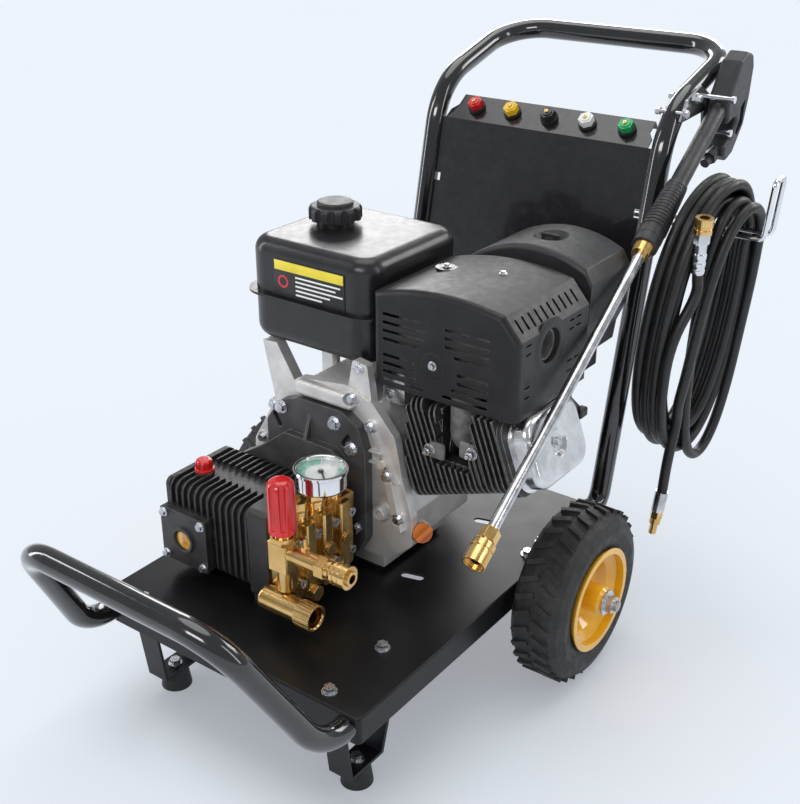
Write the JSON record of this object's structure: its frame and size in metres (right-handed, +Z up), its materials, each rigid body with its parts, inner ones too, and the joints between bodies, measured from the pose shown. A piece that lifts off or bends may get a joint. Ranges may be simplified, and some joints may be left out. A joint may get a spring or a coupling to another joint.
{
  "type": "pressure washer",
  "caption": "Petrol pressure washer on a two-wheeled cart: engine, geared plunger pump, push handle with spray nozzles, gun with lance, and a coiled hose.",
  "frame": {"origin": "on the ground under the middle of the machine without its hose", "axes": "+Y from the lifting bar to the push handle, +X to the side with the gun and the hose, +Z up"},
  "size_m": [0.732, 1.177, 0.83],
  "materials": {
    "black_paint": "gloss",
    "satin_black": "satin",
    "black_rubber": "matte",
    "hose_rubber": "matte",
    "tyre_rubber": "matte",
    "red_plastic": "gloss",
    "yellow_plastic": "gloss",
    "black_plastic": "gloss",
    "white_plastic": "gloss",
    "green_plastic": "gloss",
    "orange_plastic": "gloss",
    "dark_plastic": "matte",
    "zinc": "satin",
    "steel": "machined",
    "yellow_paint": "gloss",
    "brass": "machined",
    "chrome": "polished",
    "dark_alloy": "cast",
    "raw_alloy": "cast",
    "bright_alloy": "polished",
    "rough_iron": "rough",
    "ceramic": "polished"
  },
  "bodies": {
    "cart": {"air_cleaner": "dark_plastic", "axle": "steel", "carburettor": "raw_alloy", "cylinder_block": "dark_alloy", "deck_plate": "black_paint", "engine_crankcase": "raw_alloy", "engine_side_cover": "raw_alloy", "fan_shroud": "black_paint", "frame_bolts": "zinc", "front_bumper_tube": "black_paint", "fuel_tank": "black_paint", "gearbox_housing": "dark_alloy", "handle_frame_tube": "black_paint", "handle_panel": "black_paint", "hose_coil": "hose_rubber", "hose_fittings": "brass", "hose_tail_lower": "hose_rubber", "hose_tail_upper": "hose_rubber", "machine_bolts": "zinc", "mounting_brackets": "black_paint", "muffler": "rough_iron", "muffler_guard": "black_paint", "nozzle_grommets": "black_rubber", "pressure_gauge": "chrome", "pump_crankcase": "satin_black", "pump_front_cover": "satin_black", "pump_head": "brass", "pump_plungers": "ceramic", "rubber_feet": "black_rubber", "side_hooks": "chrome", "unloader_body": "brass", "valve_caps": "brass", "valve_cover": "bright_alloy"},
    "left_wheel": {"tyre_left": "tyre_rubber", "rim_left": "yellow_paint"},
    "right_wheel": {"tyre_right": "tyre_rubber", "rim_right": "yellow_paint"},
    "red_nozzle": {"nozzle_red": "red_plastic"},
    "yellow_nozzle": {"nozzle_yellow": "yellow_plastic"},
    "black_nozzle": {"nozzle_black": "black_plastic"},
    "white_nozzle": {"nozzle_white": "white_plastic"},
    "green_nozzle": {"nozzle_green": "green_plastic"},
    "engine_crank": {"engine_crankshaft": "steel", "flywheel": "rough_iron"},
    "pump_crank": {"pump_crankshaft": "steel"},
    "pump_filler_cap": {"pump_oil_cap": "red_plastic"},
    "pressure_knob": {"unloader_knob": "red_plastic"},
    "water_inlet_nut": {"inlet_cap": "brass"},
    "quick_collar": {"outlet_collar": "brass"},
    "needle": {"gauge_needle": "black_plastic"},
    "tank_cap": {"fuel_cap": "dark_plastic"},
    "dipstick": {"oil_dipstick": "orange_plastic"},
    "air_nut": {"air_cleaner_nut": "dark_plastic"},
    "choke": {"choke_lever": "dark_plastic"},
    "starter_grip": {"recoil_handle": "dark_plastic"},
    "spray_gun": {"gun_body": "dark_plastic", "lance_grip": "dark_plastic", "lance_tube": "chrome", "lance_coupler": "brass"},
    "trigger": {"gun_trigger": "dark_plastic"}
  },
  "joints": [
    {"name": "left_wheel_spin", "type": "hinge", "parent": "cart", "child": "left_wheel", "pos_m": [-0.293, 0.03, 0.13], "axis": [1, 0, 0], "continuous": true},
    {"name": "right_wheel_spin", "type": "hinge", "parent": "cart", "child": "right_wheel", "pos_m": [0.249, 0.03, 0.13], "axis": [1, 0, 0], "continuous": true},
    {"name": "red_nozzle_pull", "type": "slide", "parent": "cart", "child": "red_nozzle", "axis": [0, -0.5722, 0.8201], "range_m": [0, 0.025]},
    {"name": "yellow_nozzle_pull", "type": "slide", "parent": "cart", "child": "yellow_nozzle", "axis": [0, -0.5722, 0.8201], "range_m": [0, 0.025]},
    {"name": "black_nozzle_pull", "type": "slide", "parent": "cart", "child": "black_nozzle", "axis": [0, -0.5722, 0.8201], "range_m": [0, 0.025]},
    {"name": "white_nozzle_pull", "type": "slide", "parent": "cart", "child": "white_nozzle", "axis": [0, -0.5722, 0.8201], "range_m": [0, 0.025]},
    {"name": "green_nozzle_pull", "type": "slide", "parent": "cart", "child": "green_nozzle", "axis": [0, -0.5722, 0.8201], "range_m": [0, 0.025]},
    {"name": "engine_crank_spin", "type": "hinge", "parent": "cart", "child": "engine_crank", "pos_m": [-0.072, -0.072, 0.312], "axis": [0, 1, 0], "continuous": true},
    {"name": "pump_crank_spin", "type": "hinge", "parent": "cart", "child": "pump_crank", "pos_m": [-0.131, -0.252, 0.252], "axis": [0, 1, 0], "continuous": true},
    {"name": "pump_filler_cap_turn", "type": "hinge", "parent": "cart", "child": "pump_filler_cap", "pos_m": [-0.18, -0.27, 0.33], "axis": [0, 0, 1], "range_deg": [0, 720]},
    {"name": "pressure_knob_turn", "type": "hinge", "parent": "cart", "child": "pressure_knob", "pos_m": [0.016, -0.329, 0.36], "axis": [0, 0, 1], "range_deg": [-540, 540]},
    {"name": "water_inlet_nut_turn", "type": "hinge", "parent": "cart", "child": "water_inlet_nut", "pos_m": [0.061, -0.337, 0.217], "axis": [1, 0, 0], "continuous": true},
    {"name": "quick_collar_pull", "type": "slide", "parent": "cart", "child": "quick_collar", "axis": [-1, 0, 0], "range_m": [0, 0.005], "stiffness_N_per_m": 800},
    {"name": "gauge_needle_turn", "type": "hinge", "parent": "cart", "child": "needle", "pos_m": [0.018, -0.254, 0.376], "axis": [0, 0, 1], "range_deg": [-270, 0], "stiffness_Nm_per_rad": 0.001},
    {"name": "tank_cap_turn", "type": "hinge", "parent": "cart", "child": "tank_cap", "pos_m": [-0.144, -0.016, 0.636], "axis": [0, 0, 1], "range_deg": [0, 90]},
    {"name": "dipstick_turn", "type": "hinge", "parent": "cart", "child": "dipstick", "pos_m": [0.078, -0.125, 0.25], "axis": [0.7497, -0.5997, 0.2799], "range_deg": [0, 540]},
    {"name": "air_nut_turn", "type": "hinge", "parent": "cart", "child": "air_nut", "pos_m": [0.134, 0.108, 0.618], "axis": [0, 0, 1], "range_deg": [0, 1080]},
    {"name": "choke_turn", "type": "hinge", "parent": "cart", "child": "choke", "pos_m": [0.215, 0.033, 0.428], "axis": [1, 0, 0], "range_deg": [0, 35]},
    {"name": "starter_pull", "type": "slide", "parent": "cart", "child": "starter_grip", "axis": [0, 1, 0], "range_m": [0, 0.7], "stiffness_N_per_m": 40},
    {"name": "gun_lift_off", "type": "slide", "parent": "cart", "child": "spray_gun", "axis": [1, 0, 0], "range_m": [0, 0.01]},
    {"name": "trigger_pull", "type": "hinge", "parent": "spray_gun", "child": "trigger", "pos_m": [0.216, 0.503, 0.7395], "axis": [1, 0, 0], "range_deg": [0, 8], "stiffness_Nm_per_rad": 0.6}
  ],
  "couplings": [
    {"joint": "pump_crank_spin", "follows": "engine_crank_spin", "ratio": -0.47368}
  ]
}
